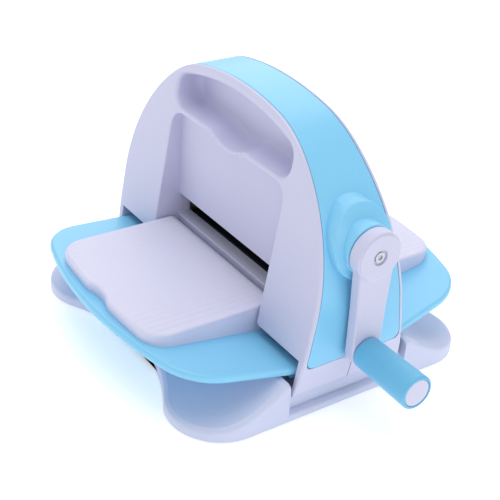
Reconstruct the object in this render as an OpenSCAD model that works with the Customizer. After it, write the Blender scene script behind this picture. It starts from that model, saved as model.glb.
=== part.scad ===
// Fold-away die cutting machine with a hand crank: arch body, two folding wings, geared rollers.
// Millimetres. X is the roller axis (crank on +X), -Y is the front, Z is up, z = 0 is the ground.

/* [Overall] */
// width of the arch body across its widest level
arch_width = 290; // [240:1:340]
// height of the top of the arch above the ground
arch_height = 220.5; // [200:0.5:250]
// depth of the arch body at its foot, front to rear
foot_depth = 106; // [96:1:120]
// depth of the arch body at the top of its crown
crown_depth = 45.6; // [40:0.2:56]
// wall of the moulded plastic shells
wall = 3; // [2.4:0.1:3.6]

/* [Base] */
// width of the base moulding
base_width = 287; // [240:1:340]
// depth of the base moulding over its lobes
base_depth = 272; // [250:1:320]
// radius of the rounded lobes
lobe_radius = 43; // [34:1:50]
// height of the saddle that carries the arch
saddle_height = 22; // [20:1:26]
// height of the lobes beside the arch
lobe_height = 36.5; // [30:0.5:37]
// height of the rim at the lobe tips
lobe_tip_height = 10; // [8:0.5:14]
// height of the ledge under the ends of the arch
ledge_height = 8; // [6:0.5:12]
// how far the rubber feet stand out below the base
foot_stand = 1; // [0.6:0.1:2]

/* [Slot and rollers] */
// clear width of the die slot and of the pocket above it
slot_width = 161; // [150:1:172]
// height of the slot floor above the ground
slot_floor = 66.5; // [62:0.5:68]
// clear height of the die slot
slot_height = 19.5; // [18:0.5:24]
// diameter of the two roller tubes
roller_diameter = 30; // [24:1:30]
// gap between the rollers
roller_gap = 18; // [16:0.5:20]
// diameter of the roller shafts
shaft_diameter = 14; // [10:1:14]
// thickness of the steel side frames
frame_thick = 4; // [3:0.5:5]

/* [Pocket and handle] */
// height of the top edge of the pad pocket
pocket_top = 167.7; // [162:0.1:170]
// distance of the pocket's back wall from the centre plane
pocket_back = 23; // [22:0.5:25]
// depth of the dip in the pocket's top edge
bulge_dip = 5.2; // [3:0.1:6]
// height of the lower edge of the handle recess
handle_bottom = 171.6; // [170:0.1:176]
// height of the handle recess's upper edge on the centre line
handle_top = 211.5; // [206:0.5:214]
// width of the handle recess
handle_width = 162; // [140:1:166]

/* [Wings and pads] */
// height of the wing hinge axis
hinge_height = 55; // [52:0.5:57]
// distance of the wing hinge axis from the centre plane
hinge_out = 36; // [34:0.5:37]
// reach of a wing from its hinge to its tip
wing_reach = 117.5; // [100:0.5:120]
// width of a wing at its root
wing_width = 273; // [240:1:274]
// thickness of a wing
wing_thick = 7; // [5:0.5:7]
// slope of an open wing, its tip is the higher end
wing_slope = 8.4; // [6:0.1:9]
// width of a pad
pad_width = 157.4; // [140:0.2:158]
// distance of a pad's outer edge from the centre plane
pad_out = 146; // [130:0.5:147]
// diameter of the hinge pins
pin_diameter = 6; // [4:0.5:7]

/* [Crank and grip] */
// height of the crank shaft above the ground
crank_height = 140; // [134:0.5:142]
// distance between the crank shaft and the grip axis
crank_throw = 83.5; // [70:0.5:90]
// diameter of the crank shaft
crank_shaft_diameter = 12; // [10:0.5:12]
// diameter of the round hub of the crank arm
hub_diameter = 40; // [34:0.5:44]
// length of the grip sleeve
grip_length = 58; // [48:0.5:70]
// diameter of the grip at its outer end
grip_diameter = 28; // [24:0.5:32]

/* [Gears] */
// module of the gear teeth
gear_module = 2; // [2:0.5:2]
// width of the gears
gear_width = 10; // [6:0.5:10]
// play between meshing teeth
gear_play = 0.35; // [0.2:0.05:0.5]

/* [Hidden] */
$fn = 72;
touch = 0.02;
running = 0.06;
gap = 0.5;
crown_radius = arch_width / 2;
crown_drop = 8.5;
crown_z = arch_height + crown_drop - crown_radius;
top_radius = 259;
top_z = arch_height - top_radius;
shoulder_radius = 90;
top_gap = crown_z - top_z;
shoulder_z = top_z + (pow(top_radius - shoulder_radius, 2) - pow(crown_radius - shoulder_radius, 2)
    + pow(top_gap, 2)) / (2 * top_gap);
shoulder_x = sqrt(pow(crown_radius - shoulder_radius, 2) - pow(shoulder_z - crown_z, 2));
shoulder_low = atan2(shoulder_z - crown_z, shoulder_x);
shoulder_high = atan2(shoulder_z - top_z, shoulder_x);
foot_half = foot_depth / 2;
crown_half = crown_depth / 2;
lean = (foot_half - crown_half) / (arch_height - saddle_height);
waist_z = 60;
foot_radius = 160;
rim = 3.2;
band_thick = 3;
band_bottom = 46;
band_corner = 6;
notch_width = wing_width + 2;
notch_top = 51.5;
notch_back = 33;
shell_inset = wall + band_thick;
roller_radius = roller_diameter / 2;
lower_z = slot_floor + 0.5 - roller_radius;
upper_z = lower_z + 2 * roller_radius + roller_gap;
roller_teeth = round((upper_z - lower_z) / gear_module);
pinion_teeth = round(2 * (crank_height - upper_z) / gear_module) - roller_teeth;
tube_length = slot_width - 4;
frame_x = slot_width / 2 + 5.5;
frame_half = 26;
frame_top = 152;
frame_bottom = saddle_height;
gear_x = frame_x + frame_thick + 3;
shaft_left = -frame_x - frame_thick - 4;
shaft_right = gear_x + gear_width + 3.5;
hub_x = crown_radius + 3;
hub_thick = 11;
arm_thick = 10;
boss_radius = 20.5;
boss_end = hub_x - gap;
boss_flare = 16;
boss_spread = 4.2;
boss_x = sqrt(pow(crown_radius, 2) - pow(crank_height - crown_z, 2));
boss_tilt = asin((crank_height - crown_z) / crown_radius);
grip_x = hub_x + arm_thick + gap;
grip_z = crank_height - crank_throw;
grip_root = grip_diameter - 2;
spindle_radius = 4;
bulge_half = 21.5;
bulge_radius = (bulge_half * bulge_half + bulge_dip * bulge_dip) / (2 * bulge_dip);
pocket_corner = 14;
handle_corner = 12;
handle_arc = 250;
handle_scoop = 26;
handle_back = 4;
handle_level = 190;
pad_corner = 21;
notch_depth = 4;
pad_notch_radius = 38;
pad_bow = 561;
hinge_knuckle = slot_floor - hinge_height;
pin_hold = 10.5;
pin_reach = 9.6;
wing_drop = 13.45;
floor_front = pocket_back + 1.2;
floor_rear = 11;
floor_thick = 3;
lobe_x = base_width / 2 - lobe_radius;
lobe_y = base_depth / 2 - lobe_radius;
waist_y = 108.4;
waist_step = waist_y - lobe_y;
waist_radius = (pow(lobe_x, 2) + pow(waist_step, 2) - pow(lobe_radius, 2))
    / (2 * (lobe_radius - waist_step));
waist_join = (waist_y + waist_radius - lobe_y) / (waist_radius + lobe_radius);
saddle_half = 57;
ledge_x = 137;
rod_points = [[0, 31], [-13, 123], [13, 123]];
shell_low_x = (shaft_right + crown_radius - 7.5) / 2;
shell_high_z = 168;
shell_high_x = (handle_width / 2 + sqrt(pow(crown_radius, 2) - pow(shell_high_z - crown_z, 2))) / 2;
shell_points = [[-shell_low_x, 105], [shell_low_x, 105], [-shell_high_x, shell_high_z],
    [shell_high_x, shell_high_z]];
frame_screw_x = frame_x - 14;
foot_boss_x = crown_radius - 15;
frame_points = [[-frame_screw_x, -14], [-frame_screw_x, 14], [frame_screw_x, -14], [frame_screw_x, 14]];
foot_boss_points = [[-foot_boss_x, -20], [-foot_boss_x, 20], [foot_boss_x, -20], [foot_boss_x, 20]];
pad_points = [[-55, 45], [55, 45], [-55, 85], [55, 85]];
lobe_points = [[-lobe_x, -lobe_y], [lobe_x, -lobe_y], [-lobe_x, lobe_y], [lobe_x, lobe_y]];
foot_points = concat(lobe_points, [[0, 0]]);
screw_radius = 2;
head_radius = 4;

// half depth of the leaning arch faces at a given height
function half_depth(height) = foot_half - lean * (height - saddle_height);

// angle between a tooth's centre line and its involute flank at a given radius
function flank_angle(teeth, radius) =
    let (pitch = teeth * gear_module / 2)
    let (base = pitch * cos(20))
    let (slope = acos(min(1, base / radius)))
    let (pitch_turn = tan(20) * 180 / PI - 20)
    let (turn = tan(slope) * 180 / PI - slope)
    90 / teeth - gear_play / (2 * pitch) * 180 / PI + pitch_turn - turn;

// points of an arc round a centre, the first one left out on request
function arc(x, y, radius, from, to, steps, skip = 0) =
    [for (k = [skip:steps]) let (turn = from + (to - from) * k / steps)
        [x + radius * cos(turn), y + radius * sin(turn)]];

// outline in the y-z plane drawn out along X
module along_x(from, length) {
    translate([from, 0, 0]) rotate([90, 0, 90]) linear_extrude(length) children();
}

// outline in the x-z plane drawn out along Y
module along_y(from, length) {
    translate([0, from + length, 0]) rotate([90, 0, 0]) linear_extrude(length) children();
}

// round bar along X
module bar(from, length, radius, y = 0, height = 0) {
    translate([from, y, height]) rotate([0, 90, 0]) cylinder(length, r = radius);
}

// arch outline with a flatter top between two rounder shoulders, moved inward by the inset
module arch_outline(inset, bottom) {
    side = foot_radius - crown_radius;
    low = foot_radius - inset;
    turn = asin((waist_z - bottom) / low);
    polygon(concat(
        arc(0, crown_z, crown_radius - inset, 0, shoulder_low, 26),
        arc(shoulder_x, shoulder_z, shoulder_radius - inset, shoulder_low, shoulder_high, 12, 1),
        arc(0, top_z, top_radius - inset, shoulder_high, 180 - shoulder_high, 16, 1),
        arc(-shoulder_x, shoulder_z, shoulder_radius - inset, 180 - shoulder_high,
            180 - shoulder_low, 12, 1),
        arc(0, crown_z, crown_radius - inset, 180 - shoulder_low, 180, 26, 1),
        arc(side, waist_z, low, 180, 180 + turn, 8),
        arc(-side, waist_z, low, -turn, 0, 8)));
}

// leaning profile of the front half, cut back by the inset
module lean_profile(inset, bottom) {
    top = arch_height + 4;
    polygon([[0, bottom], [inset - half_depth(bottom), bottom], [inset - half_depth(top), top], [0, top]]);
}

module arch_half(inset, face_inset, bottom) {
    intersection() {
        along_y(-foot_half - 2, foot_half + 2 - touch / 2) arch_outline(inset, bottom);
        along_x(-crown_radius, arch_width) lean_profile(face_inset, bottom);
    }
}

// pad pocket seen from the front, with the dip in its top edge
module pocket_outline(grow, bottom) {
    side = slot_width / 2;
    corner_x = side - pocket_corner;
    corner_z = pocket_top - pocket_corner;
    dip_radius = bulge_radius - grow;
    dip_turn = acos((dip_radius - bulge_dip) / dip_radius);
    polygon(concat(
        [[-side - grow, bottom], [side + grow, bottom]],
        arc(corner_x, corner_z, pocket_corner + grow, 0, 90, 12),
        arc(0, pocket_top - bulge_dip + bulge_radius, dip_radius, 270 + dip_turn, 270 - dip_turn, 16),
        arc(-corner_x, corner_z, pocket_corner + grow, 90, 180, 12)));
}

// handle recess seen from the front: arched above, with a thumb dip below
module handle_outline(grow) {
    corner_x = handle_width / 2 - handle_corner;
    corner = handle_corner + grow;
    low_z = handle_bottom + handle_corner;
    arc_z = handle_top - handle_arc;
    high_z = arc_z + sqrt(pow(handle_arc - handle_corner, 2) - pow(corner_x, 2));
    join = atan2(high_z - arc_z, corner_x);
    dip = bulge_dip + 0.9;
    dip_radius = bulge_radius + grow;
    dip_turn = acos((dip_radius - dip) / dip_radius);
    polygon(concat(
        arc(0, handle_bottom - dip + bulge_radius, dip_radius, 270 - dip_turn, 270 + dip_turn, 16),
        arc(corner_x, low_z, corner, 270, 360, 10),
        arc(corner_x, high_z, corner, 0, join, 8),
        arc(0, arc_z, handle_arc + grow, join, 180 - join, 30, 1),
        arc(-corner_x, high_z, corner, 180 - join, 180, 8, 1),
        arc(-corner_x, low_z, corner, 180, 270, 10)));
}

module handle_space(grow) {
    intersection() {
        along_y(-foot_half, foot_half) handle_outline(grow);
        bar(-crown_radius, arch_width, handle_scoop + grow, -handle_back - handle_scoop, handle_level);
    }
}

// side view of the band, square to the rims with two round lower corners
module band_side(inset) {
    corner = band_corner;
    low = band_bottom + inset;
    top = arch_height + 4;
    edge = half_depth(low + corner) - rim - inset;
    low_half = half_depth(low) - rim - inset;
    top_half = half_depth(top) - rim - inset;
    difference() {
        polygon([[-low_half, low], [low_half, low], [top_half, top], [-top_half, top]]);
        for (side = [0, 1]) mirror([side, 0]) translate([-edge, low]) difference() {
            translate([-3, -1]) square([corner + 3, corner + 1]);
            translate([corner, corner]) circle(corner);
        }
    }
}

// ring under the arch's rounded edge, from one inset to a deeper one
module band_ring(outer, inner, side) {
    intersection() {
        difference() {
            along_y(-foot_half, foot_depth) arch_outline(outer, saddle_height);
            along_y(-foot_half - 1, foot_depth + 2) arch_outline(inner, saddle_height - 1);
        }
        along_x(-crown_radius - 4, arch_width + 8) band_side(side);
    }
}

// blind bore that holds one hinge pin in the cheek of the arch
module pin_bore() {
    bar(slot_width / 2 - 1, pin_hold, pin_diameter / 2 + touch, -hinge_out, hinge_height);
}

// one half of the arch with its pocket, handle recess, notch for the wing and hinge bosses
module shell_half() {
    side = slot_width / 2;
    slot_top = slot_floor + slot_height;
    difference() {
        union() {
            difference() {
                arch_half(0, 0, saddle_height + touch);
                arch_half(shell_inset, wall, saddle_height - 1);
            }
            intersection() {
                arch_half(0, 0, saddle_height + touch);
                union() {
                    along_y(-foot_half, foot_half + wall - pocket_back) pocket_outline(wall, saddle_height);
                    handle_space(wall);
                    translate([-notch_width / 2 - wall, -foot_half, saddle_height])
                        cube([notch_width + 2 * wall, foot_half - notch_back + wall,
                            notch_top + wall - saddle_height]);
                    for (x = [-side - wall, side]) translate([x, -30, slot_floor + 0.2])
                        cube([wall, 30 - floor_rear - 1, slot_top + wall - slot_floor]);
                    for (p = shell_points) translate([p[0], 0, p[1]]) rotate([90, 0, 0])
                        cylinder(60, r = 5.5);
                    for (p = foot_boss_points) if (p[1] < 0) translate([p[0], p[1], saddle_height])
                        cylinder(14, r = 5);
                }
            }
        }
        translate([-notch_width / 2, -60, saddle_height - 1])
            cube([notch_width, 60 - notch_back, notch_top + 1 - saddle_height]);
        along_y(-60, 60 - pocket_back) pocket_outline(0, saddle_height - 1);
        translate([-side, -60, saddle_height - 1]) cube([slot_width, 61, slot_top + 1 - saddle_height]);
        handle_space(0);
        band_ring(-1, band_thick + touch, 0);
        bar(100, 60, crank_shaft_diameter / 2 + 1.5, 0, crank_height);
        for (p = foot_boss_points) translate([p[0], p[1], saddle_height - 1])
            cylinder(13, r = screw_radius + touch);
        for (left = [0, 1]) mirror([left, 0, 0]) pin_bore();
    }
    for (left = [0, 1]) mirror([left, 0, 0]) difference() {
        bar(side, pin_hold, 6, -hinge_out, hinge_height);
        pin_bore();
    }
}

module front_shell() {
    color("#c9cbe0") difference() {
        shell_half();
        for (p = shell_points) translate([p[0], 1, p[1]]) rotate([90, 0, 0])
            cylinder(14, r = screw_radius + touch);
    }
}

module rear_shell() {
    color("#c9cbe0") mirror([0, 1, 0]) difference() {
        shell_half();
        for (p = shell_points) translate([p[0], 1, p[1]]) rotate([90, 0, 0]) {
            cylinder(60, r = screw_radius + touch);
            translate([0, 0, 10]) cylinder(60, r = head_radius + 0.2);
        }
    }
}

module shell_screws() {
    color("silver") for (p = shell_points) translate([p[0], 9, p[1]]) rotate([90, 0, 0]) {
        cylinder(20, r = screw_radius);
        translate([0, 0, -3]) cylinder(3, r = head_radius);
    }
}

// blue cover over the crown, with the flared boss around the crank shaft
module band_cover() {
    color("#97daf6") difference() {
        intersection() {
            union() {
                band_ring(0, band_thick, 0);
                bar(100, boss_end - 100, boss_radius, 0, crank_height);
                translate([boss_x, 0, crank_height]) rotate([0, 90 - boss_tilt, 0])
                    rotate_extrude($fn = 96) difference() {
                        translate([0, -20])
                            square([boss_radius + boss_flare, 20 + boss_flare - boss_spread]);
                        translate([boss_radius + boss_flare, boss_flare - boss_spread]) circle(boss_flare);
                    }
            }
            along_x(-crown_radius - 4, arch_width + 8) band_side(0.3);
        }
        along_y(-foot_half - 1, foot_depth + 2) arch_outline(band_thick, saddle_height - 1);
        bar(100, 60, crank_shaft_diameter / 2 + 1.5, 0, crank_height);
        bar(boss_end, 10, boss_radius + boss_flare, 0, crank_height);
    }
}

// base outline: straight ends, four round lobes, hollowed front and rear edges
module base_outline(inset) {
    radius = lobe_radius - inset;
    difference() {
        union() {
            square([2 * lobe_x, 2 * (lobe_y + radius * waist_join)], center = true);
            square([2 * (lobe_x + radius), 2 * lobe_y], center = true);
            for (p = lobe_points) translate(p) circle(radius);
        }
        for (side = [-1, 1]) translate([0, side * (waist_y + waist_radius)])
            circle(waist_radius + inset, $fn = 180);
    }
}

// side profile of the base: saddle in the middle, lobes falling away in a hollow curve
module base_profile(inset) {
    crest = saddle_half + 5;
    half = base_depth / 2;
    drop = lobe_height - lobe_tip_height;
    reach = half - crest;
    curve = (pow(reach, 2) + pow(drop, 2)) / (2 * drop);
    translate([-crest, 0]) square([2 * crest, saddle_height - inset]);
    for (side = [0, 1]) mirror([side, 0]) {
        translate([saddle_half + inset, 0]) square([5 - inset + touch, lobe_height - inset]);
        difference() {
            translate([crest, 0]) square([reach + 2, lobe_height - inset]);
            translate([half, lobe_tip_height + curve]) circle(curve + inset, $fn = 180);
        }
    }
}

module base_block(inset) {
    intersection() {
        translate([0, 0, foot_stand]) linear_extrude(lobe_height) base_outline(inset);
        along_x(-base_width / 2, base_width) base_profile(inset);
    }
}

module base_moulding() {
    deck = saddle_height - wall;
    bosses = concat(frame_points, foot_boss_points);
    color("#c3cee6") difference() {
        union() {
            difference() {
                base_block(0);
                intersection() {
                    translate([0, 0, -foot_stand]) base_block(wall);
                    cube([2 * ledge_x - 2 * wall, base_depth, 2 * lobe_height], center = true);
                }
                for (left = [0, 1]) mirror([left, 0, 0]) translate([ledge_x, -saddle_half, ledge_height])
                    cube([20, 2 * saddle_half, lobe_height]);
            }
            for (p = bosses) translate([p[0], p[1], 8]) cylinder(deck - 7.9, r = 6);
            intersection() {
                base_block(1);
                for (p = foot_points) translate(p) cylinder(lobe_height, r = 12);
            }
        }
        for (p = bosses) translate([p[0], p[1], 0]) {
            cylinder(deck - 4, r = head_radius + 0.2);
            cylinder(deck + 10, r = screw_radius + touch);
        }
        for (p = foot_points) translate([p[0], p[1], 0]) cylinder(3, r = 9.1);
    }
}

module rubber_feet() {
    color("#4a4f58") for (p = foot_points) translate(p) {
        cylinder(3 - touch, r = 9);
    }
}

module base_screws() {
    seat = saddle_height - wall - 4;
    color("silver") {
        for (p = frame_points) translate([p[0], p[1], seat]) screw(saddle_height + 3 - seat);
        for (p = foot_boss_points) translate([p[0], p[1], seat]) screw(saddle_height + 10 - seat);
    }
}

// screw pointing up with its seat at the origin
module screw(length) {
    cylinder(length, r = screw_radius);
    translate([0, 0, -3]) cylinder(3 - touch, r = head_radius);
}

// steel side frame on the right, with an inward foot flange
module side_frame() {
    top = frame_top - frame_half;
    difference() {
        union() {
            along_x(frame_x, frame_thick) {
                translate([-frame_half, frame_bottom + touch]) square([2 * frame_half, top - frame_bottom]);
                translate([0, top]) circle(frame_half);
            }
            translate([frame_x - 26, -19.5, frame_bottom + touch]) cube([26.5, 39, 3]);
        }
        for (z = [lower_z, upper_z]) bar(frame_x - 1, 10, 10 + touch, 0, z);
        bar(frame_x - 1, 10, 9 + touch, 0, crank_height);
        for (p = rod_points) bar(frame_x - 1, 10, 3 + touch, p[0], p[1]);
        for (p = frame_points) translate([p[0], p[1], 0]) cylinder(60, r = screw_radius + touch);
    }
}

module right_frame() {
    color("#b9bcc2") side_frame();
}

module left_frame() {
    color("#b9bcc2") mirror([1, 0, 0]) side_frame();
}

module tie_rods() {
    color("silver") for (p = rod_points) {
        bar(touch - frame_x, 2 * (frame_x - touch), 4, p[0], p[1]);
        bar(-frame_x - 6, 2 * (frame_x + 6), 3, p[0], p[1]);
    }
}

module tie_nuts() {
    outer = frame_x + frame_thick + touch;
    color("silver") for (p = rod_points, left = [0, 1]) mirror([left, 0, 0]) difference() {
        translate([outer, p[0], p[1]]) rotate([0, 90, 0]) cylinder(2.4, r = 5.4, $fn = 6);
        bar(outer - 1, 10, 3 + touch, p[0], p[1]);
    }
}

// slot floor at the front with its apron down to the base
module floor_plate() {
    half = frame_x - 0.1;
    inner = slot_width / 2 - 0.2;
    translate([-inner, -floor_front, slot_floor - floor_thick])
        cube([2 * inner, floor_front - floor_rear, floor_thick]);
    translate([-half, -19.5, slot_floor - floor_thick]) cube([2 * half, 19.5 - floor_rear, floor_thick]);
    translate([-inner, -floor_front, saddle_height + touch])
        cube([2 * inner, 2.5, slot_floor - saddle_height - 1]);
}

module front_floor() {
    color("#b4b4c6") floor_plate();
}

module rear_floor() {
    color("#b4b4c6") mirror([0, 1, 0]) floor_plate();
}

module frame_bush(outer, bore, height) {
    for (left = [0, 1]) mirror([left, 0, 0]) difference() {
        union() {
            bar(frame_x - touch, frame_thick, outer, 0, height);
            bar(frame_x - 1.6, 1.5, outer + 2, 0, height);
            bar(frame_x - 0.2, 0.3, outer, 0, height);
        }
        bar(frame_x - 3, 12, bore + running, 0, height);
    }
}

module roller_bushes() {
    color("#8c7a58") for (z = [lower_z, upper_z]) frame_bush(10, shaft_diameter / 2, z);
}

module crank_bushes() {
    color("#8c7a58") frame_bush(9, crank_shaft_diameter / 2, crank_height);
}

module roller_tube(height) {
    difference() {
        bar(-tube_length / 2, tube_length, roller_radius, 0, height);
        bar(-tube_length, 2 * tube_length, shaft_diameter / 2 + touch, 0, height);
    }
}

module roller_shaft(height) {
    bar(shaft_left, shaft_right - shaft_left, shaft_diameter / 2, 0, height);
}

module rings(height, radius) {
    for (x = [shaft_left + 1, shaft_right - 2.5]) difference() {
        bar(x, 1.2, radius + 3, 0, height);
        bar(x - 1, 4, radius + touch, 0, height);
    }
}

// involute gear on its own axis, one tooth points along the first axis
module gear_outline(teeth) {
    pitch = teeth * gear_module / 2;
    root = pitch - 1.25 * gear_module;
    tip = pitch + 0.9 * gear_module;
    start = max(root, pitch * cos(20));
    steps = 5;
    radii = [for (k = [0:steps]) start + (tip - start) * k / steps];
    polygon([for (tooth = [0:teeth - 1], side = [-1, 1], k = [0:steps + 1])
        let (step = side < 0 ? k : steps + 1 - k)
        let (radius = step == 0 ? root : radii[step - 1])
        let (turn = tooth * 360 / teeth + side * flank_angle(teeth, max(start, radius)))
        radius * [cos(turn), sin(turn)]]);
}

module gear(teeth, height, bore, turn) {
    translate([gear_x, 0, height]) rotate([0, 90, 0]) linear_extrude(gear_width) difference() {
        rotate(turn) gear_outline(teeth);
        circle(bore + touch);
    }
}

module upper_tube() {
    color("#3a3d44") roller_tube(upper_z);
}

module upper_shaft() {
    color("silver") roller_shaft(upper_z);
}

module upper_gear() {
    color("#9aa0a8") gear(roller_teeth, upper_z, shaft_diameter / 2, 0);
}

module upper_ring() {
    color("silver") rings(upper_z, shaft_diameter / 2);
}

module lower_tube() {
    color("#3a3d44") roller_tube(lower_z);
}

module lower_shaft() {
    color("silver") roller_shaft(lower_z);
}

module lower_gear() {
    color("#9aa0a8") gear(roller_teeth, lower_z, shaft_diameter / 2, 180 / roller_teeth);
}

module lower_ring() {
    color("silver") rings(lower_z, shaft_diameter / 2);
}

module crank_shaft() {
    radius = crank_shaft_diameter / 2;
    color("silver") difference() {
        union() {
            bar(shaft_left, hub_x - shaft_left, radius, 0, crank_height);
            intersection() {
                bar(hub_x - 1, 6, radius, 0, crank_height);
                translate([hub_x - 1, -radius, crank_height - radius + 1.2])
                    cube([6, 2 * radius, 2 * radius - 2.4]);
            }
        }
        bar(hub_x - 8, 20, 2.5 + touch, 0, crank_height);
    }
}

module crank_pinion() {
    color("#9aa0a8") gear(pinion_teeth, crank_height, crank_shaft_diameter / 2, 180 / pinion_teeth);
}

module crank_ring() {
    color("silver") rings(crank_height, crank_shaft_diameter / 2);
}

// crank arm with its raised round disc and the counterbore for the screw
module crank_arm() {
    radius = crank_shaft_diameter / 2 + touch;
    color("#cfd0e2") difference() {
        union() {
            bar(hub_x, hub_thick, hub_diameter / 2, 0, crank_height);
            bar(hub_x, hub_thick + 0.8, hub_diameter / 2 - 1.5, 0, crank_height);
            along_x(hub_x, arm_thick) {
                polygon([[-16.3, crank_height], [16.3, crank_height], [12.8, grip_z], [-12.8, grip_z]]);
                translate([0, grip_z]) circle(13.3);
            }
        }
        intersection() {
            bar(hub_x - 1, 6 + touch, radius, 0, crank_height);
            translate([hub_x - 2, -radius, crank_height - radius + 1.2])
                cube([8, 2 * radius, 2 * radius - 2.4]);
        }
        bar(hub_x, 30, 2.5 + touch, 0, crank_height);
        bar(hub_x + 7.5, 30, 6.2, 0, crank_height);
        bar(hub_x + 2, 30, spindle_radius + touch, 0, grip_z);
    }
}

module crank_washer() {
    color("silver") difference() {
        bar(hub_x + 7.5 + touch, 0.8, 6, 0, crank_height);
        bar(hub_x, 30, 2.5 + touch, 0, crank_height);
    }
}

module crank_screw() {
    seat = hub_x + 8.3 + 2 * touch;
    color("#d8dade") difference() {
        union() {
            bar(hub_x - 7, seat - hub_x + 7, 2.5, 0, crank_height);
            bar(seat, 2.8, 4.6, 0, crank_height);
        }
        for (turn = [0, 90]) translate([seat + 1.4, 0, crank_height]) rotate([turn, 0, 0])
            translate([0, -2.6, -0.5]) cube([3, 5.2, 1]);
    }
}

module grip_spindle() {
    color("silver") {
        bar(hub_x + 2, grip_length + 2, spindle_radius, 0, grip_z);
        bar(grip_x + grip_length - 10.3, 3, spindle_radius + 2.5, 0, grip_z);
    }
}

module grip_sleeve() {
    outer = grip_diameter / 2;
    shoulder = grip_x + grip_length - 10.5;
    color("#7fcbeb") translate([0, 0, grip_z]) rotate([0, 90, 0]) rotate_extrude($fn = 96) difference() {
        union() {
            polygon([[0, grip_x], [grip_root / 2, grip_x], [outer, grip_x + grip_length - 2],
                [0, grip_x + grip_length - 2]]);
            translate([0, grip_x + grip_length - 2.01]) square([outer - 2, 2.01]);
            translate([outer - 2, grip_x + grip_length - 2]) circle(2);
        }
        square([spindle_radius + running, 400]);
        translate([0, shoulder]) square([9, 20]);
        translate([0, grip_x + grip_length - 3]) square([11.3, 10]);
    }
}

module grip_cap() {
    color("#cfd0e2") {
        bar(grip_x + grip_length - 3 + touch, 2.6, 11.3 - touch, 0, grip_z);
        bar(grip_x + grip_length - 6, 3.2, 9 - touch, 0, grip_z);
    }
}

// wing outline in its own plane: root on the hinge line, tip outward
module wing_outline() {
    corner = 45.5;
    corner_x = 82;
    corner_y = wing_reach - 57.5;
    half = wing_width / 2;
    bow_y = (pow(corner_x, 2) + pow(corner_y, 2) - pow(wing_reach - corner, 2))
        / (2 * (corner_y - wing_reach + corner));
    start = acos(corner / norm([half - corner_x, corner_y])) - atan2(corner_y, half - corner_x);
    join = atan2(corner_y - bow_y, corner_x);
    polygon(concat(
        [[-half, 0], [half, 0]],
        arc(corner_x, corner_y, corner, start, join, 20),
        arc(0, bow_y, wing_reach - bow_y, join, 180 - join, 40, 1),
        arc(-corner_x, corner_y, corner, 180 - join, 180 - start, 20, 1)));
}

// places children given in the wing's own frame: x, outward, and up from the hinge axis
module on_wing() {
    translate([0, -hinge_out, hinge_height]) rotate([wing_slope, 0, 180]) children();
}

module wing() {
    on_wing() difference() {
        union() {
            translate([0, 0, -wing_drop - wing_thick]) linear_extrude(wing_thick) wing_outline();
            translate([-130, 3, -wing_drop - wing_thick - 6]) cube([260, 6, 6.5]);
        }
        for (p = pad_points) translate([p[0], p[1], -wing_drop - wing_thick - 1]) {
            cylinder(12, r = screw_radius + touch);
            cylinder(4, r = head_radius + 0.2);
        }
    }
}

// pad seen from above: bowed outer edge with a finger notch
module pad_outline() {
    side = pad_width / 2;
    corner_x = side - pad_corner;
    bow_y = pad_bow - pad_out;
    join = asin(corner_x / (pad_bow - pad_corner));
    corner_y = bow_y - (pad_bow - pad_corner) * cos(join);
    notch_y = notch_depth - pad_out - pad_notch_radius;
    span = bow_y - notch_y;
    turn = acos((pow(pad_bow, 2) + pow(span, 2) - pow(pad_notch_radius, 2)) / (2 * pad_bow * span));
    notch_turn = asin(pad_bow * sin(turn) / pad_notch_radius);
    polygon(concat(
        [[-side, 0]],
        arc(-corner_x, corner_y, pad_corner, 180, 270 - join, 14),
        arc(0, bow_y, pad_bow, 270 - join, 270 - turn, 10, 1),
        arc(0, notch_y, pad_notch_radius, 90 + notch_turn, 90 - notch_turn, 10, 1),
        arc(0, bow_y, pad_bow, 270 + turn, 270 + join, 10, 1),
        arc(corner_x, corner_y, pad_corner, 270 + join, 360, 14, 1),
        [[side, 0]]));
}

// pad seen from the side: level top, underside on the wing, round knuckle at the hinge
module pad_profile() {
    under = wing_drop - touch;
    reach = 140;
    foot_y = -hinge_out - under * sin(wing_slope);
    foot_z = hinge_height - under * cos(wing_slope);
    polygon(concat(
        [[-hinge_out - reach, slot_floor]],
        arc(-hinge_out, hinge_height, hinge_knuckle, 90, -90 - wing_slope, 36),
        [[foot_y, foot_z], [foot_y - reach * cos(wing_slope), foot_z + reach * sin(wing_slope)]]));
}

module wing_pad() {
    side = pad_width / 2;
    difference() {
        intersection() {
            linear_extrude(slot_floor + 10) pad_outline();
            along_x(-side - 1, pad_width + 2) pad_profile();
        }
        for (left = [0, 1]) mirror([left, 0, 0])
            bar(side - 10, 20, pin_diameter / 2 + running, -hinge_out, hinge_height);
        on_wing() for (p = pad_points) translate([p[0], p[1], -wing_drop - 1])
            cylinder(8, r = screw_radius + touch);
    }
}

module pad_screws() {
    on_wing() for (p = pad_points) translate([p[0], p[1], -wing_drop - wing_thick + 3 + touch]) screw(10);
}

module hinge_pins() {
    start = pad_width / 2 - pin_reach;
    end = slot_width / 2 + pin_hold - 1.5;
    for (left = [0, 1]) mirror([left, 0, 0])
        bar(start, end - start, pin_diameter / 2, -hinge_out, hinge_height);
}

module front_wing() {
    color("#97daf6") wing();
}

module front_pad() {
    color("#d8d8ec") wing_pad();
}

module front_pad_screws() {
    color("silver") pad_screws();
}

module front_hinge_pins() {
    color("silver") hinge_pins();
}

module rear_wing() {
    color("#97daf6") mirror([0, 1, 0]) wing();
}

module rear_pad() {
    color("#d8d8ec") mirror([0, 1, 0]) wing_pad();
}

module rear_pad_screws() {
    color("silver") mirror([0, 1, 0]) pad_screws();
}

module rear_hinge_pins() {
    color("silver") mirror([0, 1, 0]) hinge_pins();
}

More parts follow.
